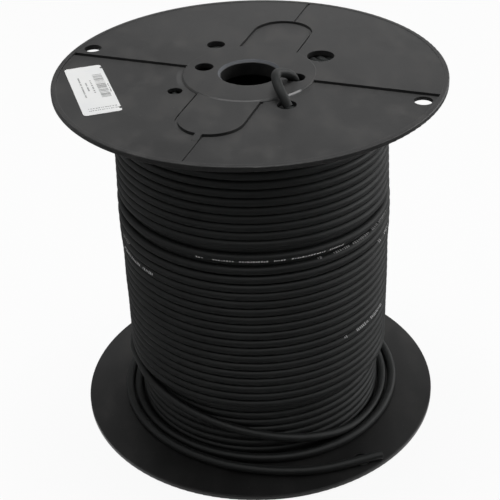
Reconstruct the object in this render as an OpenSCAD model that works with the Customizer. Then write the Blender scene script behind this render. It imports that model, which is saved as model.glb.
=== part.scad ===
// Moulded plastic cable reel, standing on one flange and wound full with round cable.
// The reel's axis is Z, the lower flange's outer face rests on z = 0, and sizes are in millimetres.

/* [Reel] */
// Overall height, from outer face to outer face of the flanges
reel_h = 264.7; // [240:0.1:320]
// Diameter of both flanges
flange_d = 266.7; // [250:0.1:320]
// Turn of the lower flange about the axis, against the upper one
lower_turn = 281; // [0:1:359]

/* [Flange] */
// Thickness of a flange at its rim and hub
flange_t = 3.8; // [3.2:0.1:6]
// Width of the raised rim
rim_w = 3.3; // [2.5:0.1:6]
// Rounding of the rim's outer edges
rim_round = 0.7; // [0.4:0.1:1.5]
// Depth of the upper panels below the rim
panel_drop = 0.2; // [0.2:0.1:1]
// Step from the upper panels down to the lower panels
step_h = 1.1; // [0.6:0.1:1.4]
// Direction of the step line between upper and lower panels
step_turn = 160; // [0:1:359]
// Width of the round-ended lobes
lobe_w = 43.2; // [30:0.1:60]
// Distance from the axis to the round end of a lobe
lobe_reach = 93.6; // [80:0.1:110]
// Width of the grooves along the steps and from the lobes to the rim
groove_w = 1.8; // [1:0.1:3]
// Depth of those grooves below their panel
groove_deep = 1; // [0.3:0.1:1.2]
// Distance from the middle line of the lobes to the grooves that run to the rim
groove_off = 2.7; // [0:0.1:5]
// Width of the bridge over the groove at the end of the raised lobe
ramp_w = 4.5; // [2:0.1:8]
// Length of the ramp from that bridge down to the panel
ramp_l = 6; // [3:0.5:15]

/* [Hub] */
// Outer diameter of the barrel and of the hub disc
barrel_d = 89.3; // [76:0.1:110]
// Wall of the barrel
barrel_wall = 2.5; // [1.5:0.1:4]
// Diameter of the arbor bore
bore_d = 39.2; // [25:0.1:42]
// Chamfer at the mouth of the bore
bore_chamfer = 1.7; // [0.5:0.1:2]
// Bevel around the hub disc
hub_bevel = 0.9; // [0.3:0.1:1.2]
// Length of the collar around the bore, inside the barrel
collar_l = 7; // [3:0.5:20]
// Wall of that collar
collar_wall = 3; // [2:0.1:4]
// Length of the ring that plugs into the barrel
spigot_l = 12; // [8:1:40]
// Wall of that ring
spigot_wall = 2; // [1.2:0.1:3]
// Clearance between that ring and the barrel
spigot_clear = 0.15; // [0.05:0.05:0.3]

/* [Holes] */
// Diameter of the drive holes in the hub
drive_d = 12.9; // [8:0.1:14]
// Clearance from a drive hole to the ring that plugs into the barrel
drive_gap = 0.85; // [0.3:0.05:2]
// Clearance from the barrel to the largest start hole
start_gap = 0.45; // [0.2:0.05:10]
// Diameter of the largest start hole
start_large_d = 19; // [14:0.1:24]
// Diameter of the two middle start holes
start_mid_d = 13; // [10:0.1:16]
// Diameter of the smallest start hole
start_small_d = 10; // [6:0.1:14]
// Diameter of the rim holes
rim_hole_d = 12.4; // [6:0.1:14]
// Distance from the flange's edge to the middle of a rim hole
rim_hole_inset = 11.8; // [10.5:0.1:20]
// Angle from the step line to the rim holes
rim_hole_turn = 4.7; // [4:0.1:30]

/* [Cable] */
// Diameter of the cable
cable_d = 6.4; // [5:0.1:7]
// Diameter over the winding's outer layer
winding_d = 192.8; // [160:0.1:220]
// Turns of the outer layer that have come off at the lower end
turns_off = 8; // [0:1:12]
// Clearance of the winding from the barrel and the flanges
winding_clear = 0.2; // [0.1:0.05:0.5]

/* [Label] */
// Length of the paper label
label_l = 76.2; // [40:0.1:76.2]
// Width of the paper label
label_w = 25.4; // [15:0.1:25.4]
// Thickness of the paper label
label_t = 0.2; // [0.1:0.05:0.4]
// Rounding of the label's corners
label_corner = 2.5; // [1:0.1:5]
// Diameter of the two notches in the label's inner edge
label_notch_d = 3; // [1:0.1:5]
// Distance from the label's ends to those notches
label_notch_inset = 5; // [4:0.1:10]
// Distance from the flange's edge to the label's middle
label_inset = 27.6; // [27:0.1:40]
// Direction of the label's middle
label_turn = 188.8; // [180:0.1:200]
// Angle from that direction to the label's long side
label_skew = 97.2; // [85:0.1:98]

/* [Hidden] */
$fn = 96;
eps = 0.01;

flange_r = flange_d / 2;
panel_r = flange_r - rim_w;
barrel_r = barrel_d / 2;
bore_r = bore_d / 2;
cable_r = cable_d / 2;
spigot_r = barrel_r - barrel_wall - spigot_clear;
upper_inner_z = reel_h - flange_t;
high_z = flange_t - panel_drop;
low_z = high_z - step_h;

// Circles that the holes lie on
drive_r = spigot_r - spigot_wall - drive_gap - drive_d / 2;
start_r = barrel_r + start_gap + start_large_d / 2;
rim_hole_r = flange_r - rim_hole_inset;
label_r = flange_r - label_inset;

// Start holes as turns from the step line and diameters
start_holes = [[-135, start_large_d], [-45, start_mid_d], [45, start_small_d], [135, start_mid_d]];

// The winding: turns along the reel, and layers from the barrel outwards
wind_low = flange_t + winding_clear + cable_r;
wind_high = upper_inner_z - winding_clear - cable_r;
turns = floor((wind_high - wind_low) / cable_d) + 1;
pitch = (wind_high - wind_low) / (turns - 1);
layer_in = barrel_r + winding_clear + cable_r;
layer_out = winding_d / 2 - cable_r;
layers = floor((layer_out - layer_in) / (cable_d * sin(60))) + 1;
layer_step = (layer_out - layer_in) / (layers - 1);
// Height of the valley between two turns above the middle of the cable
valley = 0.35 * cable_r;

// Route of the loose end: turn about the axis in degrees, distance from the axis, height above the flange.
// It leaves the outer layer, slants down over the layer below, lies twice round the base and ends cut.
loose_route = [
    [-178, 95.2, 45.5], [-168, 95.2, 44.7], [-144, 95, 40.6], [-120, 94.8, 34.4], [-96, 94.8, 25.5],
    [-72, 94.8, 15], [-48, 94.8, 6], [-24, 94.8, 3.3], [0, 95.7, 3.3], [24, 98, 3.3], [48, 98, 3.3],
    [72, 97.5, 3.3], [96, 97, 3.3], [120, 96.5, 3.3], [144, 95.8, 3.3], [168, 95.1, 3.3],
    [192, 94.8, 3.3], [216, 94.8, 3.3], [240, 95.1, 3.3], [264, 96.7, 3.3], [288, 99.3, 3.3],
    [312, 101, 3.3], [336, 101.8, 3.3], [360, 103.4, 3.3], [384, 104.9, 3.3], [408, 105.2, 3.3],
    [432, 104.9, 3.3], [456, 104.3, 3.3], [480, 103.6, 3.3], [504, 102.7, 3.3], [528, 102, 3.3],
    [552, 101.7, 3.3], [576, 101.8, 3.3], [600, 103.5, 3.3], [624, 108.1, 3.3], [648, 117.4, 3.3],
    [671, 130, 3.3]
];
loose_points = [for (p = loose_route) [p[1] * cos(p[0]), p[1] * sin(p[0]), p[2] + flange_t]];

// Route of the cable's start, out of a start hole and down a drive hole, with heights above the rim
loop_route = [
    [24, -51, -2.1], [22, -49, 2], [19.8, -46, 6], [18, -41.5, 8.8], [17, -35.5, 10.2], [17.2, -29, 10.2],
    [19, -23, 9], [22.6, -17.8, 6.6], [27.4, -13.6, 2.9], [30.4, -11.8, -2.8], [31.6, -11.2, -10],
    [32, -11, -18]
];
loop_points = [for (p = loop_route) [p[0], p[1], p[2] + reel_h]];

tube_sides = 10;

module ring_2d(outer, inner) {
    difference() {
        circle(r = outer);
        circle(r = inner);
    }
}

// One round-ended lobe from the hub outwards along a direction, grown all round
module lobe_2d(turn, grow = 0) {
    round_x = lobe_reach - lobe_w / 2;
    rotate(turn) {
        translate([0, -lobe_w / 2 - grow]) square([round_x, lobe_w + 2 * grow]);
        translate([round_x, 0]) circle(r = lobe_w / 2 + grow);
    }
}

// Plan of the bridge from the raised lobe over its groove, beside the groove that runs to the rim
module bridge_2d() {
    rotate(step_turn + 90) translate([lobe_reach - lobe_w / 2, groove_off - groove_w / 2 - ramp_w])
        square([lobe_w / 2 + groove_w + ramp_l, ramp_w]);
}

// Plan of the panels that lie a step lower: one half of the flange, with one lobe kept and one added
module low_panels_2d() {
    intersection() {
        ring_2d(panel_r, barrel_r);
        union() {
            difference() {
                rotate(step_turn) translate([-flange_d, 0]) square([2 * flange_d, flange_d]);
                lobe_2d(step_turn + 90);
                bridge_2d();
            }
            lobe_2d(step_turn - 90);
        }
    }
}

// Plan of the grooves in the lower panels: along the step line, around the raised lobe, inside the sunk
// one, and from the raised one to the rim
module grooves_2d() {
    intersection() {
        ring_2d(panel_r, barrel_r);
        union() {
            difference() {
                lobe_2d(step_turn + 90, groove_w);
                lobe_2d(step_turn + 90);
                bridge_2d();
            }
            difference() {
                lobe_2d(step_turn - 90);
                lobe_2d(step_turn - 90, -groove_w);
            }
            rotate(step_turn + 90) translate([lobe_reach, groove_off - groove_w / 2])
                square([flange_r, groove_w]);
            difference() {
                rotate(step_turn) translate([-flange_r, 0]) square([flange_d, groove_w]);
                lobe_2d(step_turn + 90);
            }
        }
    }
}

// The groove from the sunk lobe to the rim lies in an upper panel
module high_groove() {
    rotate(step_turn - 90) translate([lobe_reach, -groove_off - groove_w / 2, high_z - groove_deep])
        cube([panel_r - lobe_reach, groove_w, flange_t]);
}

// Cut that slopes the bridge down to a low blunt end on its panel
module ramp_cut() {
    rotate(step_turn + 90) translate([lobe_reach + groove_w, groove_off, 0]) rotate([90, 0, 0])
        linear_extrude(2 * (groove_w + ramp_w), center = true)
            polygon([[0, high_z], [ramp_l + 1, low_z + eps], [ramp_l + 1, flange_t + 1], [0, flange_t + 1]]);
}

// Half section of a flange before its panels and holes are cut
module flange_section() {
    translate([bore_r, 0]) square([flange_r - rim_round - bore_r, flange_t]);
    translate([bore_r, rim_round]) square([flange_r - bore_r, flange_t - 2 * rim_round]);
    for (z = [rim_round, flange_t - rim_round]) translate([flange_r - rim_round, z]) circle(r = rim_round);
    translate([bore_r, -collar_l]) square([collar_wall, collar_l + eps]);
    translate([spigot_r - spigot_wall, -spigot_l]) square([spigot_wall, spigot_l + eps]);
}

// Half section of the shallow cut that leaves the rim and the hub disc standing
module panel_section() {
    translate([barrel_r, high_z]) square([panel_r - barrel_r, flange_t]);
}

// Half section of the hub disc's bevelled edge
module hub_section() {
    polygon([[barrel_r - 1, 0], [barrel_r + hub_bevel, 0], [barrel_r + hub_bevel, flange_t - hub_bevel],
             [barrel_r, flange_t], [barrel_r - 1, flange_t]]);
}

// Half section of the chamfer at the bore's mouth
module chamfer_section() {
    polygon([[bore_r - 1, flange_t - bore_chamfer - 1], [bore_r + bore_chamfer + 1, flange_t + 1],
             [bore_r - 1, flange_t + 1]]);
}

module hole(turn, r, d) {
    rotate(turn) translate([r, 0, -1]) cylinder(d = d, h = flange_t + 2);
}

// The flange's plate with its panels, steps and grooves
module plate() {
    difference() {
        rotate_extrude() flange_section();
        rotate_extrude() panel_section();
        translate([0, 0, low_z]) linear_extrude(flange_t) low_panels_2d();
        translate([0, 0, low_z - groove_deep]) linear_extrude(flange_t) grooves_2d();
        high_groove();
        ramp_cut();
    }
    rotate_extrude() hub_section();
}

// One moulded flange, inner face on z = 0 and outer face up
module flange() {
    difference() {
        plate();
        rotate_extrude() chamfer_section();
        for (half = [0, 180]) {
            hole(step_turn + half, drive_r, drive_d);
            hole(step_turn - rim_hole_turn + half, rim_hole_r, rim_hole_d);
        }
        for (s = start_holes) hole(step_turn + s[0], start_r, s[1]);
    }
}

module upper_flange() {
    color([0.13, 0.13, 0.14]) translate([0, 0, upper_inner_z]) flange();
}

module lower_flange() {
    color([0.1, 0.1, 0.11]) rotate(lower_turn) translate([0, 0, flange_t]) rotate([180, 0, 0]) flange();
}

module barrel() {
    color([0.12, 0.12, 0.13]) translate([0, 0, flange_t])
        linear_extrude(upper_inner_z - flange_t) ring_2d(barrel_r, barrel_r - barrel_wall);
}

// Half section of the wound cable: a core, with the turns that show on its side and its ends
module winding_section() {
    core_r = barrel_r + winding_clear;
    under_r = layer_out - layer_step;
    off_z = wind_low + turns_off * pitch;
    translate([core_r, wind_low]) square([under_r + valley - core_r, wind_high - wind_low]);
    translate([core_r, off_z]) square([layer_out + valley - core_r, wind_high - off_z]);
    for (i = [0 : turns - 1])
        translate([i < turns_off ? under_r : layer_out, wind_low + i * pitch]) circle(d = cable_d);
    for (j = [0 : layers - 2]) translate([layer_in + j * layer_step, wind_high]) circle(d = cable_d);
    for (j = [0 : layers - (turns_off > 0 ? 3 : 2)])
        translate([layer_in + j * layer_step, wind_low]) circle(d = cable_d);
}

module cable_winding() {
    color([0.06, 0.06, 0.065]) rotate_extrude() winding_section();
}

// A smooth curve through the points of a route, with a number of steps to each stretch
function ghost(p, i) = i < 0 ? 2 * p[0] - p[1] : i >= len(p) ? 2 * p[len(p) - 1] - p[len(p) - 2] : p[i];
function between(a, b, c, d, t) =
    0.5 * (2 * b + (c - a) * t + (2 * a - 5 * b + 4 * c - d) * t * t + (3 * b - a - 3 * c + d) * t * t * t);
function smooth(p, steps) = concat(
    [for (i = [0 : len(p) - 2], k = [0 : steps - 1])
        between(ghost(p, i - 1), p[i], p[i + 1], ghost(p, i + 2), k / steps)],
    [p[len(p) - 1]]);

// Corners of the tube around one point of a path; side is a direction that the path never follows
function tangent(p, i) = let (v = ghost(p, i + 1) - ghost(p, i - 1)) v / norm(v);
function ring(p, i, side) =
    let (t = tangent(p, i), n = cross(side, t) / norm(cross(side, t)), b = cross(t, n))
    [for (k = [0 : tube_sides - 1])
        p[i] + cable_r * (cos(360 * k / tube_sides) * n + sin(360 * k / tube_sides) * b)];

// A round cable swept along a path
module cable_tube(path, side) {
    rings = len(path);
    corners = [for (i = [0 : rings - 1]) each ring(path, i, side)];
    walls = [for (i = [0 : rings - 2], k = [0 : tube_sides - 1])
        let (a = i * tube_sides + k, b = i * tube_sides + (k + 1) % tube_sides)
        each [[a, b + tube_sides, b], [a, a + tube_sides, b + tube_sides]]];
    start_cap = [for (k = [0 : tube_sides - 1]) k];
    end_cap = [for (k = [tube_sides - 1 : -1 : 0]) (rings - 1) * tube_sides + k];
    polyhedron(corners, concat([start_cap], walls, [end_cap]));
}

module loose_end() {
    color([0.07, 0.07, 0.075]) cable_tube(smooth(loose_points, 2), [0, 0, 1]);
}

module start_loop() {
    color([0.07, 0.07, 0.075]) cable_tube(loop_points, [1, 0, 0]);
}

module label() {
    inset = label_corner;
    color([0.95, 0.95, 0.94])
        rotate(label_turn) translate([label_r, 0, upper_inner_z + low_z]) rotate(label_skew)
            linear_extrude(label_t) difference() {
                union() {
                    square([label_l - 2 * inset, label_w], center = true);
                    square([label_l, label_w - 2 * inset], center = true);
                    for (x = [-1, 1], y = [-1, 1])
                        translate([x * (label_l / 2 - inset), y * (label_w / 2 - inset)]) circle(r = inset);
                }
                for (x = [-1, 1])
                    translate([x * (label_l / 2 - label_notch_inset), label_w / 2]) circle(d = label_notch_d);
            }
}

upper_flange();
lower_flange();
barrel();
cable_winding();
loose_end();
start_loop();
label();
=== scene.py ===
"""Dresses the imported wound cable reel: camera, cables, label print, materials, floor and light."""
import math

import bpy
import numpy as np
from mathutils import Matrix, Vector


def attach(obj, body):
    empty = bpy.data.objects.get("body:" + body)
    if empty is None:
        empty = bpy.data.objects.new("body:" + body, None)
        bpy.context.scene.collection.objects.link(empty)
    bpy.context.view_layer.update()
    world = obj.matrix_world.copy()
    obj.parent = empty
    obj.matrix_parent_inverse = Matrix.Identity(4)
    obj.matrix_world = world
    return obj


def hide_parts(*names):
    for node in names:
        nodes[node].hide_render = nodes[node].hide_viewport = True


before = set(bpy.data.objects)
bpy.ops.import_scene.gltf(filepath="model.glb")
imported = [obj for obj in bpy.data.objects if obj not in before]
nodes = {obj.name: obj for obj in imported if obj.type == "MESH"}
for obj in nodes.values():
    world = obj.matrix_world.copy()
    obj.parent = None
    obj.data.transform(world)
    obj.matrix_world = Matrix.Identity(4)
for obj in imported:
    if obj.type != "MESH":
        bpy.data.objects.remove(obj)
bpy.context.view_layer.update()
scene = bpy.context.scene
scene.view_settings.view_transform = "Standard"

MM = 0.001
TURN = 2 * math.pi
rng = np.random.default_rng(11)

# Sizes shared with the CAD model, in millimetres
FLANGE_R = 133.35
FLANGE_T = 3.8
REEL_H = 264.7
BARREL_R = 44.65
LAYER_OUT = 93.2
LAYER_STEP = 5.644
LAYER_IN = 48.05
UNDER_R = LAYER_OUT - LAYER_STEP
WIND_LOW, WIND_HIGH = 7.2, 257.5
LAYER_TURNS = 40
PITCH = (WIND_HIGH - WIND_LOW) / (LAYER_TURNS - 1)
# Radius of the cable as drawn, a little under half its size
CABLE_R = 3.18


# Camera, as fitted to the photograph's view of both flanges
def add_camera():
    yaw, pitch, roll = -0.0055, 0.5666, -0.0381
    place = (0, -0.7581, 0.6050)
    lens, sensor = 87.88, 36
    ahead = Vector((math.sin(yaw) * math.cos(pitch), math.cos(yaw) * math.cos(pitch), -math.sin(pitch)))
    right = Vector((math.cos(yaw), -math.sin(yaw), 0))
    up = right.cross(ahead)
    x = math.cos(roll) * right + math.sin(roll) * up
    y = -math.sin(roll) * right + math.cos(roll) * up
    data = bpy.data.cameras.new("photo_camera")
    data.sensor_width = sensor
    data.lens = lens
    cam = bpy.data.objects.new("photo_camera", data)
    pose = Matrix((x, y, -ahead)).transposed().to_4x4()
    pose.translation = place
    cam.matrix_world = pose
    scene.collection.objects.link(cam)
    scene.camera = cam


add_camera()


# Meshes
class Mesh:
    """Collects vertices in millimetres, faces, UVs and material numbers, and makes an object of them."""

    def __init__(self):
        self.verts, self.faces, self.uvs, self.mats, self.count = [], [], [], [], 0

    def add(self, verts, faces, uvs=None, mat=0):
        verts = np.asarray(verts, float)
        for i, f in enumerate(faces):
            self.faces.append([int(v) + self.count for v in f])
            self.uvs.append(uvs[i] if uvs is not None else [(0.0, 0.0)] * len(f))
            self.mats.append(mat)
        self.verts.append(verts)
        self.count += len(verts)

    def make(self, name, materials, sharp=40):
        mesh = bpy.data.meshes.new(name)
        mesh.from_pydata((np.concatenate(self.verts) * MM).tolist(), [], self.faces)
        layer = mesh.uv_layers.new(name="run")
        layer.data.foreach_set("uv", np.array([c for f in self.uvs for uv in f for c in uv], np.float32))
        mesh.polygons.foreach_set("material_index", np.array(self.mats, np.int32))
        mesh.polygons.foreach_set("use_smooth", np.ones(len(self.faces), bool))
        mesh.set_sharp_from_angle(angle=math.radians(sharp))
        for m in materials:
            mesh.materials.append(m)
        mesh.update()
        obj = bpy.data.objects.new(name, mesh)
        scene.collection.objects.link(obj)
        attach(obj, "root")
        return obj


def unit(v):
    return v / np.linalg.norm(v, axis=-1, keepdims=True)


def rings_along(points, out, sides):
    """Corners of a cable's rings, with the first corner of each towards out."""
    p = np.asarray(points, float)
    t = unit(np.gradient(p, axis=0))
    n = unit(out - (out * t).sum(1, keepdims=True) * t)
    b = np.cross(t, n)
    a = (TURN * np.arange(sides) / sides)[None, :, None]
    return p[:, None] + CABLE_R * (np.cos(a) * n[:, None] + np.sin(a) * b[:, None])


def skin(rings, closed=False):
    """Faces and UVs (length along, length around, both in metres) between rings of equal size."""
    count, sides = rings.shape[:2]
    centre = rings.mean(axis=1)
    run = np.concatenate([[0], np.cumsum(np.linalg.norm(np.diff(centre, axis=0), axis=1))]) * MM
    edge = np.linalg.norm(rings[0, 1] - rings[0, 0]) * MM
    faces, uvs = [], []
    for i in range(count if closed else count - 1):
        j = (i + 1) % count
        u0, u1 = run[i], run[j] if j else run[i] + run[1]
        for k in range(sides):
            q = (k + 1) % sides
            faces.append((i * sides + k, i * sides + q, j * sides + q, j * sides + k))
            uvs.append([(u0, k * edge), (u0, (k + 1) * edge), (u1, (k + 1) * edge), (u1, k * edge)])
    return rings.reshape(-1, 3), faces, uvs


def tube(mesh, points, out, sides, closed=False):
    """A cable along the points, with capped ends unless it is closed."""
    rings = rings_along(points, out, sides)
    if closed:
        # gradient() has one-sided ends, so a closed path is taken three times round and cut
        count = len(points)
        rings = rings_along(np.tile(points, (3, 1)), np.tile(out, (3, 1)), sides)[count:2 * count]
    mesh.add(*skin(rings, closed))
    if not closed:
        mesh.add(rings[0], [list(range(sides))[::-1]])
        mesh.add(rings[-1], [list(range(sides))])


def polar(turn, r, z):
    turn = np.radians(turn)
    return np.stack([r * np.cos(turn), r * np.sin(turn), np.broadcast_to(z, np.shape(turn))], -1)


def outwards(points):
    return unit(np.asarray(points) * (1, 1, 0))


def spline(a, b, c, d, t):
    """Catmull-Rom curve from b (t = 0) to c (t = 1)."""
    return 0.5 * (2 * b + (c - a) * t + (2 * a - 5 * b + 4 * c - d) * t * t
                  + (3 * b - a - 3 * c + d) * t ** 3)


def smooth(points, steps):
    """Catmull-Rom curve through the points, as in the CAD model."""
    p = np.asarray(points, float)
    p = np.concatenate([[2 * p[0] - p[1]], p, [2 * p[-1] - p[-2]]])
    path = [spline(*p[i - 1:i + 3], k / steps) for i in range(1, len(p) - 2) for k in range(steps)]
    return np.array(path + [p[-2]])


# Materials
class Nodes:
    """A material's node tree, with short calls to add and link nodes."""

    def __init__(self, name):
        self.mat = bpy.data.materials.new(name)
        self.mat.use_nodes = True
        self.tree = self.mat.node_tree
        self.bsdf = self.tree.nodes["Principled BSDF"]

    def add(self, kind, inputs=None, **props):
        node = self.tree.nodes.new(kind)
        for key, value in props.items():
            setattr(node, key, value)
        for key, value in (inputs or {}).items():
            self.put(node.inputs[key], value)
        return node

    def put(self, socket, value):
        if isinstance(value, bpy.types.NodeSocket):
            self.tree.links.new(value, socket)
        else:
            socket.default_value = value

    def set(self, **inputs):
        for key, value in inputs.items():
            self.put(self.bsdf.inputs[key.replace("_", " ")], value)

    def noise(self, where, scale, detail=3.0, rough=0.5):
        return self.add("ShaderNodeTexNoise", {"Vector": where, "Scale": scale, "Detail": detail,
                                               "Roughness": rough}).outputs["Fac"]

    def stretch(self, where, scale, turn=(0, 0, 0)):
        node = self.add("ShaderNodeMapping", {"Vector": where, "Scale": scale, "Rotation": turn})
        return node.outputs["Vector"]

    def vector(self, operation, a, b=(0, 0, 0)):
        return self.add("ShaderNodeVectorMath", {0: a, 1: b}, operation=operation).outputs["Value"]

    def band(self, value, low, high, to_low=0.0, to_high=1.0):
        return self.add("ShaderNodeMapRange", {"Value": value, "From Min": low, "From Max": high,
                                               "To Min": to_low, "To Max": to_high}).outputs["Result"]

    def math(self, operation, a, b):
        return self.add("ShaderNodeMath", {0: a, 1: b}, operation=operation).outputs["Value"]

    def mix(self, factor, a, b):
        node = self.add("ShaderNodeMix", data_type="RGBA")
        for socket, value in zip([s for s in node.inputs if s.enabled], (factor, a, b)):
            self.put(socket, value)
        return [s for s in node.outputs if s.enabled][0]

    def bump(self, height, distance, normal=None, strength=1.0):
        inputs = {"Height": height, "Distance": distance, "Strength": strength}
        if normal is not None:
            inputs["Normal"] = normal
        return self.add("ShaderNodeBump", inputs).outputs["Normal"]


def grey(v, warm=0.0):
    return (v * (1 + warm), v, v * (1 - warm), 1)


def cool(v):
    return (0.94 * v, v, 0.99 * v, 1)


# Painted highlights on the upper flange: lighter colour standing in for light caught by the bore's chamfer,
# the hub's front bevel, a glint on the hub's edge right of the loop, and a lit band outside the hub on the
# left.
# Each is a piece of a ring about the axis: place, distances from it at which the spot is full and at which it
# ends, radius and half width of the ring, all in millimetres, and colour
PAINTED_HIGHLIGHTS = [
    ((0, 20, REEL_H), 30, 36, 20.7, 1.0, (0.10, 0.105, 0.115, 1)),
    ((-9, -44, REEL_H), 12, 22, 45.0, 1.2, grey(0.11)),
    ((29, -34.5, REEL_H), 4.5, 7, 45.0, 0.8, grey(0.36)),
    ((-47, -4, REEL_H), 6, 17, 47.8, 1.9, grey(0.072)),
]


def plastic(name, shine):
    """Satin black moulded plastic: flow clouds, smudges, fine scratches, dust, painted highlights on the hub
    and bore, and painted light that fills the shade in corners and grooves.
    """
    n = Nodes(name)
    where = n.add("ShaderNodeTexCoord").outputs["Object"]
    cloud = n.noise(where, 14, 4)
    smudge = n.noise(n.stretch(where, (60, 34, 60), (0, 0, 0.6)), 1, 5, 0.6)
    peel = n.noise(where, 1400, 2)
    scratch = None
    for turn, scale in ((0.35, (22, 1500, 22)), (1.25, (30, 1900, 30)), (2.3, (26, 1700, 26))):
        line = n.band(n.noise(n.stretch(where, scale, (0, 0, turn)), 1, 1), 0.68, 0.76)
        patch = n.band(n.noise(where, 30 + 9 * turn, 2), 0.50, 0.64)
        line = n.math("MULTIPLY", line, patch)
        scratch = line if scratch is None else n.math("MAXIMUM", scratch, line)
    dust = n.add("ShaderNodeTexVoronoi", {"Vector": where, "Scale": 170.0}).outputs["Distance"]
    dust = n.math("MULTIPLY", n.band(dust, 0.10, 0.03), n.band(n.noise(where, 55, 2), 0.54, 0.64))
    corner_fill_light = n.add("ShaderNodeAmbientOcclusion", {"Distance": 0.0025}, samples=6, only_local=True)
    base = n.mix(n.band(cloud, 0.3, 0.7), grey(0.042), grey(0.052))
    base = n.mix(n.band(smudge, 0.48, 0.72), base, grey(0.062, 0.02))
    base = n.mix(n.math("MULTIPLY", scratch, 0.4), base, grey(0.10))
    base = n.mix(n.math("MULTIPLY", dust, 0.5), base, grey(0.15, 0.05))
    # Painted light: where the AO finds corners and grooves the colour is lightened, filling in their shade
    base = n.mix(n.band(corner_fill_light.outputs["AO"], 0.85, 0.45), base, grey(0.075))
    axle = n.vector("LENGTH", n.stretch(where, (1, 1, 0)))
    # Painted highlights from the table above, laid on as lighter colour
    for place, near, far, ring, width, colour in PAINTED_HIGHLIGHTS:
        highlight_spot = n.band(n.vector("DISTANCE", where, Vector(place) * MM), far * MM, near * MM)
        off = n.math("ABSOLUTE", n.math("SUBTRACT", axle, ring * MM), 0.0)
        mark = n.math("MULTIPLY", highlight_spot, n.band(off, width * MM, 0.6 * width * MM))
        base = n.mix(mark, base, colour)
    rough = n.math("ADD", n.band(cloud, 0.25, 0.75, 0.35, 0.43), n.band(smudge, 0.35, 0.72, -0.03, 0.08))
    rough = n.math("ADD", rough, n.math("MULTIPLY", scratch, 0.12))
    edge = n.add("ShaderNodeBevel", {"Radius": 0.0004}, samples=6).outputs["Normal"]
    normal = n.bump(n.math("ADD", peel, n.math("MULTIPLY", scratch, -0.6)), 0.00006, edge, 0.5)
    n.set(Base_Color=base, Roughness=rough, Normal=normal, Specular_IOR_Level=shine, IOR=1.46)
    return n.mat


def jacket(name, low, high):
    """Soft matt black cable jacket: lengthwise streaks from the die, and faint scuffs."""
    n = Nodes(name)
    coords = n.add("ShaderNodeTexCoord")
    where, run = coords.outputs["Object"], coords.outputs["UV"]
    streak = n.noise(n.stretch(run, (24, 900, 1)), 1, 2)
    cloud = n.noise(where, 35, 3)
    grain = n.noise(where, 2600, 2)
    scuff = n.math("MULTIPLY", n.band(n.noise(n.stretch(run, (60, 700, 1)), 1, 3), 0.58, 0.72),
                   n.band(n.noise(where, 22, 2), 0.5, 0.65))
    base = n.mix(n.band(cloud, 0.3, 0.7), cool(low), cool(high))
    base = n.mix(n.math("MULTIPLY", scuff, 0.35), base, cool(1.5 * high))
    rough = n.math("ADD", n.band(streak, 0.3, 0.7, 0.42, 0.54), n.math("MULTIPLY", scuff, 0.1))
    relief = n.math("ADD", n.math("MULTIPLY", streak, 0.6), n.math("MULTIPLY", grain, 0.5))
    normal = n.bump(relief, 0.00005, None, 0.6)
    n.set(Base_Color=base, Roughness=rough, Normal=normal, Specular_IOR_Level=0.42, IOR=1.46)
    return n.mat


def paper():
    n = Nodes("label_paper")
    where = n.add("ShaderNodeTexCoord").outputs["Object"]
    fibre = n.noise(n.stretch(where, (700, 260, 700)), 1, 4)
    cloud = n.noise(where, 40, 3)
    base = n.mix(n.band(cloud, 0.3, 0.7), (0.84, 0.85, 0.85, 1), (0.89, 0.89, 0.88, 1))
    base = n.mix(n.math("MULTIPLY", n.band(fibre, 0.62, 0.8), 0.2), base, (0.74, 0.74, 0.72, 1))
    n.set(Base_Color=base, Roughness=n.band(fibre, 0.3, 0.7, 0.5, 0.62),
          Normal=n.bump(fibre, 0.00003, None, 0.5))
    return n.mat


def ink(name, value, spread, rough):
    n = Nodes(name)
    where = n.add("ShaderNodeTexCoord").outputs["Object"]
    wear = n.band(n.noise(where, 1900, 3), 0.35, 0.7)
    n.set(Base_Color=n.mix(wear, grey(value), grey(value + spread)),
          Roughness=n.band(wear, 0, 1, rough, rough + 0.15))
    return n.mat


def solid(name, colour, darker, rough, metal=0.0):
    n = Nodes(name)
    where = n.add("ShaderNodeTexCoord").outputs["Object"]
    grain = n.noise(where, 3000, 3)
    n.set(Base_Color=n.mix(n.band(grain, 0.3, 0.7), darker, colour),
          Roughness=n.band(grain, 0.3, 0.7, rough, rough + 0.2),
          Normal=n.bump(grain, 0.00008, None, 0.6), Metallic=metal)
    return n.mat


PLASTIC = plastic("reel_plastic", 0.5)
# Painted shade: the lower flange is the same moulding, given less shine only so that it renders darker
SHADED_PLASTIC = plastic("shaded_reel_plastic", 0.33)
PAPER = paper()
JACKET = jacket("cable_jacket", 0.023, 0.032)
# Painted shade: a darker copy of the same jacket for the start loop, so that the loop renders darker
SHADED_JACKET = jacket("shaded_cable_jacket", 0.016, 0.022)
CABLE_INK = ink("cable_ink", 0.72, 0.2, 0.5)
FAINT_INK = ink("faint_cable_ink", 0.06, 0.08, 0.5)
LABEL_INK = ink("label_ink", 0.2, 0.12, 0.55)
INSULATION = solid("cable_insulation", (0.05, 0.05, 0.052, 1), (0.03, 0.03, 0.032, 1), 0.45)
COPPER = solid("cable_copper", (0.62, 0.31, 0.17, 1), (0.38, 0.18, 0.10, 1), 0.35, 1.0)


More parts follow.
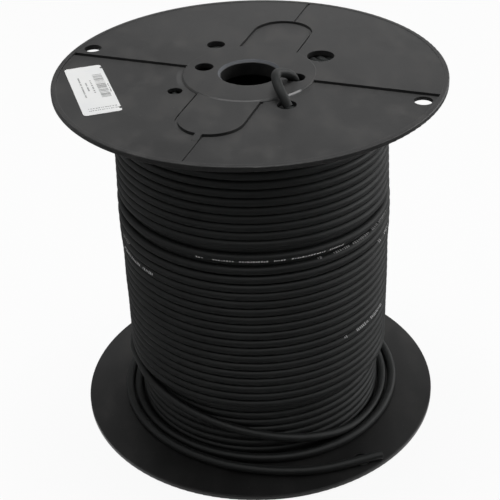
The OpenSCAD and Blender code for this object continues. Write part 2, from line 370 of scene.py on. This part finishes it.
# The cable's two ends, on the CAD model's own routes: the loose end by degrees about the axis, radius and
# height above the lower flange, the loop by x, y and height above the reel's top
LOOSE_ROUTE = [
    (-178, 95.2, 45.5), (-168, 95.2, 44.7), (-144, 95, 40.6), (-120, 94.8, 34.4), (-96, 94.8, 25.5),
    (-72, 94.8, 15), (-48, 94.8, 6), (-24, 94.8, 3.3), (0, 95.7, 3.3), (24, 98, 3.3), (48, 98, 3.3),
    (72, 97.5, 3.3), (96, 97, 3.3), (120, 96.5, 3.3), (144, 95.8, 3.3), (168, 95.1, 3.3),
    (192, 94.8, 3.3), (216, 94.8, 3.3), (240, 95.1, 3.3), (264, 96.7, 3.3), (288, 99.3, 3.3),
    (312, 101, 3.3), (336, 101.8, 3.3), (360, 103.4, 3.3), (384, 104.9, 3.3), (408, 105.2, 3.3),
    (432, 104.9, 3.3), (456, 104.3, 3.3), (480, 103.6, 3.3), (504, 102.7, 3.3), (528, 102, 3.3),
    (552, 101.7, 3.3), (576, 101.8, 3.3), (600, 103.5, 3.3), (624, 108.1, 3.3), (648, 117.4, 3.3),
    (671, 130, 3.3),
]
LOOP_ROUTE = [
    (24, -51, -2.1), (22, -49, 2), (19.8, -46, 6), (18, -41.5, 8.8), (17, -35.5, 10.2), (17.2, -29, 10.2),
    (19, -23, 9), (22.6, -17.8, 6.6), (27.4, -13.6, 2.9), (30.4, -11.8, -2.8), (31.6, -11.2, -10),
    (32, -11, -18),
]
loose_path = smooth([(r * math.cos(math.radians(a)), r * math.sin(math.radians(a)), z + FLANGE_T)
                     for a, r, z in LOOSE_ROUTE], 7)
loop_path = smooth([(x, y, z + REEL_H) for x, y, z in LOOP_ROUTE], 5)
END_SIDES = 16


def cut_end(mesh, path):
    """The sawn-off end: a rounded jacket edge, the insulation set back a little, and a strand of copper."""
    tip, ahead = path[-1], unit(path[-1] - path[-2])
    out = outwards(path[-1:])[0]
    side = unit(out - out.dot(ahead) * ahead)
    other = np.cross(ahead, side)
    a = TURN * np.arange(END_SIDES) / END_SIDES

    def circle(r, forward):
        return tip + forward * ahead + r * (np.cos(a)[:, None] * side + np.sin(a)[:, None] * other)

    # Radius and place along the cable of each ring, material by material
    jacket_rings = [(CABLE_R, 0.0), (CABLE_R - 0.25, 0.22), (2.3, 0.24), (2.25, -0.1)]
    insulation_rings = [(2.25, -0.1), (1.95, 0.05), (0.95, 0.1), (0.9, 0.0)]
    copper_rings = [(0.9, 0.0), (0.75, 0.3), (0.4, 0.42), (0.06, 0.44)]
    for mat, stations in enumerate((jacket_rings, insulation_rings, copper_rings)):
        rings = np.array([circle(*s) for s in stations])
        mesh.add(*skin(rings), mat=mat)
    mesh.add(rings[-1], [list(range(END_SIDES))], mat=mat)


def make_loose_end():
    mesh = Mesh()
    rings = rings_along(loose_path, outwards(loose_path), END_SIDES)
    mesh.add(*skin(rings))
    mesh.add(rings[0], [list(range(END_SIDES))[::-1]])
    cut_end(mesh, loose_path)
    obj = mesh.make("cable_end", [JACKET, INSULATION, COPPER])
    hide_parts("loose_end")


def make_start_loop():
    mesh = Mesh()
    out = np.tile(np.array([1.0, 0.3, 0.0]), (len(loop_path), 1))
    tube(mesh, loop_path, out, sides=18)
    obj = mesh.make("cable_start", [SHADED_JACKET])
    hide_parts("start_loop")


make_loose_end()
make_start_loop()


# The winding. Steps down between the outer layer's turns at the front: close, two gaps, then a little wider
TOP_TURN = 255.0
STEPS = [6.27] * 11 + [10.2, 9.7, 7.1, 6.8] + [6.51] * 15
FRONT = [TOP_TURN - sum(STEPS[:i]) for i in range(len(STEPS) + 1)]
# Turns from the top one at the front at which the layer comes up, begins to sink to the loose end, and ends
FIRST_TURN, LEAVE_TURN, LAST_TURN = -168 / 360, 29.5, 30 + 272 / 360
# Turns over which the layer comes up, ends its wander and takes on the loose end's radius
COME_UP, CALM_DOWN, MEET = 0.12, 0.35, 0.5
FRONT_TURN = -90
# The layer below: where it starts, in degrees, its turns, and the share of a turn in which it crosses over.
# The layers under it show only at the winding's ends.
UNDER_START, UNDER_TURNS, CROSSING = 100, 39.85, 0.14
INNER_LAYERS, END_WAVE = 7, 0.12
# On the right the turns above the gaps hang lower and those below lie higher: turns from the top, millimetres
SAG_TURN, SAG_WIDE = -15, 45
SAG = [(0, 0), (3, -1.5), (10, -2.1), (11.3, -1.5), (12.2, 0), (13.2, 1.5), (14.2, 1.1), (15.2, 0)]
# The outer layer bellies out a little above its middle: turns from the top, millimetres
BELLY = [(0, -1.2), (6, -1), (10, -0.65), (11, -0.3), (12, 0.45), (13, 0.75), (15, 0.6), (17, 0), (30, -0.1)]
# In the two gaps a turn of the layer below rises between its neighbours: where it starts and ends, the turns
# that rising and sinking take, and its depth below the outer layer
RISE_FIRST, RISE_LAST, RISE_EASE, RISE_DEPTH = 10.55, 12.45, 0.3, 3.2
# Points to a turn of the outer layer and of the one below
OUTER_POINTS, UNDER_POINTS = 100, 80


def wobble(t, size, offset):
    """A slow wander along the cable, mostly alike on neighbouring turns."""
    waves = ((1, 1.03, 1), (0.6, 2.09, 2.7), (0.5, 0.17, 1.9), (0.3, 5.2, 4.1))
    return size * sum(height * np.sin(TURN * (rate * t + shift * offset)) for height, rate, shift in waves)


def outer_height(t):
    """Height of the outer layer after t turns from the top one at the front."""
    first, last = FRONT[1] - FRONT[0], FRONT[-1] - FRONT[-2]
    h = np.array([FRONT[0] - first] + FRONT + [FRONT[-1] + last, FRONT[-1] + 2 * last])
    i = np.clip(np.floor(t).astype(int), -1, len(FRONT) - 1)
    b, c = h[i + 1], h[i + 2]
    a = np.where(i < 0, 2 * b - c, h[np.maximum(i, 0)])
    d = h[np.minimum(i + 3, len(h) - 1)]
    return spline(a, b, c, d, t - i)


def ease(x):
    x = np.clip(x, 0, 1)
    return x * x * (3 - 2 * x)


def sag(t):
    away = np.mod(FRONT_TURN + 360 * t - SAG_TURN + 180, 360) - 180
    return np.interp(t, *zip(*SAG)) * np.exp(-(away / SAG_WIDE) ** 2)


def outer_path(t):
    """The outer layer after t turns: it comes up from the layer below and ends where the loose end begins."""
    t = np.asarray(t, float)
    settle = ease((LAST_TURN - t) / CALM_DOWN)
    r = LAYER_OUT + np.interp(t, *zip(*BELLY))
    meet = 1 - ease((LAST_TURN - t) / MEET)
    r = r + settle * wobble(t, 0.14, 0.3) + (LOOSE_ROUTE[0][1] - r) * meet
    r = r - LAYER_STEP * (1 - ease((t - FIRST_TURN) / COME_UP))
    last = LOOSE_ROUTE[0][2] + FLANGE_T
    z = outer_height(t) + sag(t) + settle * wobble(t, 0.1, 0.8)
    z = z + (last - outer_height(np.array(LAST_TURN))) * ease((t - LEAVE_TURN) / (LAST_TURN - LEAVE_TURN))
    return polar(FRONT_TURN + 360 * t, r, z)


def under_path(t):
    """The layer below, which climbs; each turn crosses over to the next at the back."""
    whole = np.floor(t)
    z = WIND_LOW + PITCH * (whole + ease((t - whole - 1 + CROSSING) / CROSSING))
    return polar(UNDER_START + 360 * t, UNDER_R + wobble(t, 0.08, 0.6), z + wobble(t, 0.05, 0.1))


def make_winding():
    mesh = Mesh()
    count = int((LAST_TURN - FIRST_TURN) * OUTER_POINTS)
    path = outer_path(np.linspace(FIRST_TURN, LAST_TURN, count))
    tube(mesh, path, outwards(path), sides=14)
    t = np.linspace(RISE_FIRST, RISE_LAST, round((RISE_LAST - RISE_FIRST) * OUTER_POINTS))
    risen = ease((t - RISE_FIRST) / RISE_EASE) * ease((RISE_LAST - t) / RISE_EASE)
    path = (outer_path(t) + outer_path(t + 1)) / 2
    path = path - outwards(path) * (LAYER_STEP + (RISE_DEPTH - LAYER_STEP) * risen)[:, None]
    tube(mesh, path, outwards(path), sides=14)
    outer = mesh.make("winding_outer_layer", [JACKET])
    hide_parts("cable_winding")

    mesh = Mesh()
    path = under_path(np.linspace(0, UNDER_TURNS, LAYER_TURNS * UNDER_POINTS))
    tube(mesh, path, outwards(path), sides=10)
    around = np.arange(90) * 4.0
    for layer in range(INNER_LAYERS):
        r = LAYER_IN + layer * LAYER_STEP
        for z in (WIND_LOW + END_WAVE, WIND_HIGH - END_WAVE):
            wave = np.sin(np.radians(around) + TURN * rng.uniform(0, 1))
            ring = polar(around, r + 0.1 * wave, z + END_WAVE * wave)
            tube(mesh, ring, outwards(ring), sides=10, closed=True)
    core_in, core_out = BARREL_R + 0.3, UNDER_R - 1.5
    profile = [(core_in, WIND_LOW), (core_out, WIND_LOW), (core_out, WIND_HIGH), (core_in, WIND_HIGH)]
    rings = np.array([[polar(a, r, z) for r, z in profile] for a in around])
    mesh.add(*skin(rings[::-1], closed=True))
    mesh.make("winding_inner_layers", [JACKET])


make_winding()


# Meaningless ticks where the cable carries its print: number of the outer layer's turn at the front, place
# around the cable in degrees above its outermost line, whether the print is faint, and where it runs, in
# degrees about the axis
PRINT = [
    (12, -30, False, [(-114, -111.5), (-107, -99), (-96.5, -85.3), (-83, -78), (-76, -61.3), (-59.7, -53.3)]),
    (13, 70, False, [(-64.8, -62.8), (-57.3, -49.3), (-46.8, -35.8), (-33.3, -28.5), (-26.8, -14.5)]),
    (15, 52, False, [(-165.3, -156.5), (-27.2, -25.8), (-20, -11.3)]),
    (16, 14, False, [(-162, -145.5), (-143.8, -137)]),
    (24, 46, False, [(-51.3, -50), (-43.8, -35.5), (-32.8, -21.5)]),
    (8, 78, True, [(-114.3, -104.3), (-103, -96.3)]),
]
TICK_W, TICK_H, TICK_GAP = 1.15, 1.9, 0.75
TICK_PROUD = 0.03
FAINT_SIZE = 0.6


def tick(mesh, at, wide, tall, around, mat):
    """A patch on the outer layer that starts after at turns."""
    p = outer_path(at + np.linspace(0, wide, 3) / (TURN * LAYER_OUT))
    n = outwards(p)
    up = np.cross(unit(np.gradient(p, axis=0)), n)
    up = up * np.sign(up[:, 2:3])
    angles = math.radians(around) + np.linspace(-0.5, 0.5, 4) * tall / CABLE_R
    grid = np.array([p + (CABLE_R + TICK_PROUD) * (math.cos(a) * n + math.sin(a) * up) for a in angles])
    faces = [(k, k + 1, k + 4, k + 3) for k in (0, 1, 3, 4, 6, 7)]
    mesh.add(grid.reshape(-1, 3), faces, mat=mat)


def make_cable_print():
    mesh = Mesh()
    for number, around, faint, stretches in PRINT:
        size = FAINT_SIZE if faint else 1
        for first, last in stretches:
            at, end = (number + (turn - FRONT_TURN) / 360 for turn in (first, last))
            while at < end:
                wide = size * TICK_W * rng.uniform(0.7, 1.2)
                tick(mesh, at, wide, size * TICK_H * rng.choice([1, 1, 0.8, 0.6]), around, int(faint))
                at += (wide + TICK_GAP * rng.uniform(0.6, 1.3)) / (TURN * LAYER_OUT)
    mesh.make("cable_ticks", [CABLE_INK, FAINT_INK])


make_cable_print()


# Label print: bars and dashes without meaning, on the paper's own axes (along, across)
LABEL_AT, LABEL_TURN, LABEL_SKEW = 105.75, 188.8, 97.2
LABEL_L, LABEL_W = 76.2, 25.4
LOW_PANEL, PAPER_T, INK_PROUD = 2.5, 0.2, 0.02
LABEL_TOP = REEL_H - FLANGE_T + LOW_PANEL + PAPER_T
# Shares of the label's length and width: the bars, then lines of dashes (first and last place along, place
# across, height), then rows of dashes across its end
BARS_ALONG, BARS_ACROSS = (0.20, 0.68), (0.65, 0.90)
LINES = [(0.23, 0.66, 0.26, 0.04), (0.35, 0.54, 0.40, 0.04), (0.31, 0.58, 0.535, 0.04),
         (0.43, 0.61, 0.945, 0.03)]
ROWS, ROW_ACROSS, ROW_HALF = (0.885, 0.925), (0.18, 0.93), 0.006


def make_label_print():
    mesh = Mesh()
    turn = math.radians(LABEL_TURN)
    along = math.radians(LABEL_TURN + LABEL_SKEW)
    centre = np.array([LABEL_AT * math.cos(turn), LABEL_AT * math.sin(turn)])
    u = np.array([math.cos(along), math.sin(along)])
    v = np.array([-u[1], u[0]])

    def mark(u0, u1, v0, v1):
        corners = [centre + (a - 0.5) * LABEL_L * u + (b - 0.5) * LABEL_W * v
                   for a, b in ((u0, v0), (u1, v0), (u1, v1), (u0, v1))]
        mesh.add([(x, y, LABEL_TOP + INK_PROUD) for x, y in corners], [(0, 1, 2, 3)])

    at, end = BARS_ALONG
    while at < end:
        wide = rng.choice([0.006, 0.009, 0.014])
        mark(at, at + wide, *BARS_ACROSS)
        at += wide + rng.choice([0.007, 0.012, 0.018])
    for first, last, row, tall in LINES:
        at = first
        while at < last:
            wide = rng.uniform(0.010, 0.022)
            mark(at, min(at + wide, last), row - tall / 2, row + tall / 2)
            at += wide + rng.choice([0.006, 0.006, 0.02])
    for row in ROWS:
        at, end = ROW_ACROSS
        while at < end:
            wide = rng.uniform(0.02, 0.05)
            mark(row - ROW_HALF, row + ROW_HALF, at, at + wide)
            at += wide + rng.choice([0.015, 0.03])
    mesh.make("label_marks", [LABEL_INK])


make_label_print()

DRESS = {"upper_flange": PLASTIC, "lower_flange": SHADED_PLASTIC, "barrel": PLASTIC, "label": PAPER}
for name, mat in DRESS.items():
    nodes[name].data.materials.clear()
    nodes[name].data.materials.append(mat)


# Floor, studio shell, lamps and world, with lengths in metres
FLOOR_HALF, FLOOR_Z, FLOOR_GLOW = 6, -0.0002, 0.94
SHELL_R, SHELL_FLOOR = 4.0, 0.0004
# Glows that add up: direction, the two places along it, as shares of the shell's radius, between which the
# glow grows, and its level. First the whole shell, then the floor beside and behind the reel, then the walls
# and the top.
SHELL_GLOW = [
    ((0, 0, 1), -2, -1, 0.03),
    ((0, 0.3, -1), -0.012, 0.008, 0.2),
    ((0.2, 1, -0.1), 0.80, 1.0, 0.85),
    ((1, 0.4, -0.1), 0.68, 0.92, 1.4),
    ((-0.8, 0.4, 0.2), 0.8, 0.97, 0.05),
    ((-0.9, -0.4, 0.25), 0.5, 0.9, 0.33),
    ((0.8, -0.15, 0.55), 0.75, 0.95, 0.9),
    ((0, -0.6, 0.8), 0.86, 0.99, 0.85),
    ((0, 0, 1), 0.7, 0.97, 0.9),
]
WORLD_LEVEL = 0.055
# Place, target, width and height, and watts
LAMPS = {
    "overhead": ((0, 0.40, 1.9), (0, 0, 0.26), (1.0, 1.0), 28),
    "right_side": ((1.5, 0.1, 0.35), (0, 0, 0.14), (0.9, 0.7), 5),
    "left_side": ((-1.5, 0.3, 0.7), (0, 0, 0.12), (0.9, 1.3), 1.2),
}


def stage_mesh(name, verts, faces, mat):
    mesh = bpy.data.meshes.new(name)
    mesh.from_pydata(verts, [], faces)
    mesh.materials.append(mat)
    obj = bpy.data.objects.new(name, mesh)
    scene.collection.objects.link(obj)
    return obj


def seen_directly(tree):
    """1 for camera, glossy and transmission rays, which see the white background."""
    path = tree.nodes.new("ShaderNodeLightPath")
    value = path.outputs["Is Camera Ray"]
    for name in ("Is Glossy Ray", "Is Transmission Ray"):
        node = tree.nodes.new("ShaderNodeMath")
        node.operation = "MAXIMUM"
        tree.links.new(value, node.inputs[0])
        tree.links.new(path.outputs[name], node.inputs[1])
        value = node.outputs["Value"]
    return value


def open_floor(tree):
    """How much the floor glows: not at all under the reel, where no light comes."""
    coords = tree.nodes.new("ShaderNodeTexCoord")
    away = tree.nodes.new("ShaderNodeVectorMath")
    away.operation = "LENGTH"
    tree.links.new(coords.outputs["Object"], away.inputs[0])
    edge = tree.nodes.new("ShaderNodeMapRange")
    tree.links.new(away.outputs["Value"], edge.inputs["Value"])
    reach = FLANGE_R * MM
    limits = {"From Min": 0.98 * reach, "From Max": reach, "To Min": 0, "To Max": FLOOR_GLOW}
    for key, value in limits.items():
        edge.inputs[key].default_value = value
    return edge.outputs["Result"]


def add_floor():
    mat = bpy.data.materials.new("pale_floor")
    mat.use_nodes = True
    tree = mat.node_tree
    tree.nodes.remove(tree.nodes["Principled BSDF"])
    diffuse = tree.nodes.new("ShaderNodeBsdfDiffuse")
    diffuse.inputs["Color"].default_value = (0.75, 0.75, 0.75, 1)
    glow = tree.nodes.new("ShaderNodeEmission")
    share = tree.nodes.new("ShaderNodeMath")
    share.operation = "MULTIPLY"
    tree.links.new(seen_directly(tree), share.inputs[0])
    tree.links.new(open_floor(tree), share.inputs[1])
    mix = tree.nodes.new("ShaderNodeMixShader")
    tree.links.new(share.outputs["Value"], mix.inputs["Fac"])
    tree.links.new(diffuse.outputs["BSDF"], mix.inputs[1])
    tree.links.new(glow.outputs["Emission"], mix.inputs[2])
    tree.links.new(mix.outputs["Shader"], tree.nodes["Material Output"].inputs["Surface"])
    corners = [(x * FLOOR_HALF, y * FLOOR_HALF, FLOOR_Z) for x, y in ((-1, -1), (1, -1), (1, 1), (-1, 1))]
    stage_mesh("floor", corners, [(0, 1, 2, 3)], mat)


def add_studio_shell():
    """The studio's walls and floor as reflections see them: brightest right, dimmest front and left."""
    mat = bpy.data.materials.new("studio_shell")
    mat.use_nodes = True
    tree = mat.node_tree
    tree.nodes.remove(tree.nodes["Principled BSDF"])
    coords = tree.nodes.new("ShaderNodeTexCoord")
    glow = tree.nodes.new("ShaderNodeEmission")
    total = None
    for direction, start, end, level in SHELL_GLOW:
        dot = tree.nodes.new("ShaderNodeVectorMath")
        dot.operation = "DOT_PRODUCT"
        tree.links.new(coords.outputs["Object"], dot.inputs[0])
        dot.inputs[1].default_value = Vector(direction).normalized() / SHELL_R
        ramp = tree.nodes.new("ShaderNodeMapRange")
        ramp.interpolation_type = "SMOOTHSTEP"
        tree.links.new(dot.outputs["Value"], ramp.inputs["Value"])
        for key, value in (("From Min", start), ("From Max", end), ("To Min", 0), ("To Max", level)):
            ramp.inputs[key].default_value = value
        if total is None:
            total = ramp.outputs["Result"]
        else:
            add = tree.nodes.new("ShaderNodeMath")
            tree.links.new(total, add.inputs[0])
            tree.links.new(ramp.outputs["Result"], add.inputs[1])
            total = add.outputs["Value"]
    tree.links.new(total, glow.inputs["Strength"])
    tree.links.new(glow.outputs["Emission"], tree.nodes["Material Output"].inputs["Surface"])
    around = np.radians(np.arange(0, 360, 10))
    rows = [(r, SHELL_FLOOR) for r in (0.14, 0.3, 0.8, 1.6)]
    rows += [(SHELL_R * math.cos(e), SHELL_R * math.sin(e)) for e in np.radians(np.arange(2, 90, 8))]
    verts = [(r * math.cos(a), r * math.sin(a), z) for a in around for r, z in rows] + [(0, 0, SHELL_R)]
    m, top = len(rows), len(around) * len(rows)
    faces = []
    for i in range(len(around)):
        j = (i + 1) % len(around)
        faces += [(i * m + k, i * m + k + 1, j * m + k + 1, j * m + k) for k in range(m - 1)]
        faces.append((i * m + m - 1, top, j * m + m - 1))
    shell = stage_mesh("studio_shell", verts, faces, mat)
    for rays in ("camera", "diffuse", "transmission", "volume_scatter", "shadow"):
        setattr(shell, "visible_" + rays, False)


def add_lamp(name, place, target, size, power):
    """A soft lamp that reflections don't see, because they see the shell."""
    data = bpy.data.lights.new(name, "AREA")
    data.shape = "RECTANGLE"
    data.size, data.size_y = size
    data.energy = power
    lamp = bpy.data.objects.new(name, data)
    lamp.location = place
    lamp.rotation_euler = (Vector(target) - Vector(place)).to_track_quat("-Z", "Y").to_euler()
    lamp.visible_glossy = False
    scene.collection.objects.link(lamp)


def add_world():
    world = bpy.data.worlds.new("studio")
    world.use_nodes = True
    scene.world = world
    tree = world.node_tree
    soft = tree.nodes["Background"]
    soft.inputs["Strength"].default_value = WORLD_LEVEL
    soft.inputs["Color"].default_value = (1, 1, 1, 1)
    white = tree.nodes.new("ShaderNodeBackground")
    white.inputs["Color"].default_value = (1, 1, 1, 1)
    mix = tree.nodes.new("ShaderNodeMixShader")
    tree.links.new(seen_directly(tree), mix.inputs["Fac"])
    tree.links.new(soft.outputs["Background"], mix.inputs[1])
    tree.links.new(white.outputs["Background"], mix.inputs[2])
    tree.links.new(mix.outputs["Shader"], tree.nodes["World Output"].inputs["Surface"])


add_floor()
add_studio_shell()
for name, lamp in LAMPS.items():
    add_lamp(name, *lamp)
add_world()
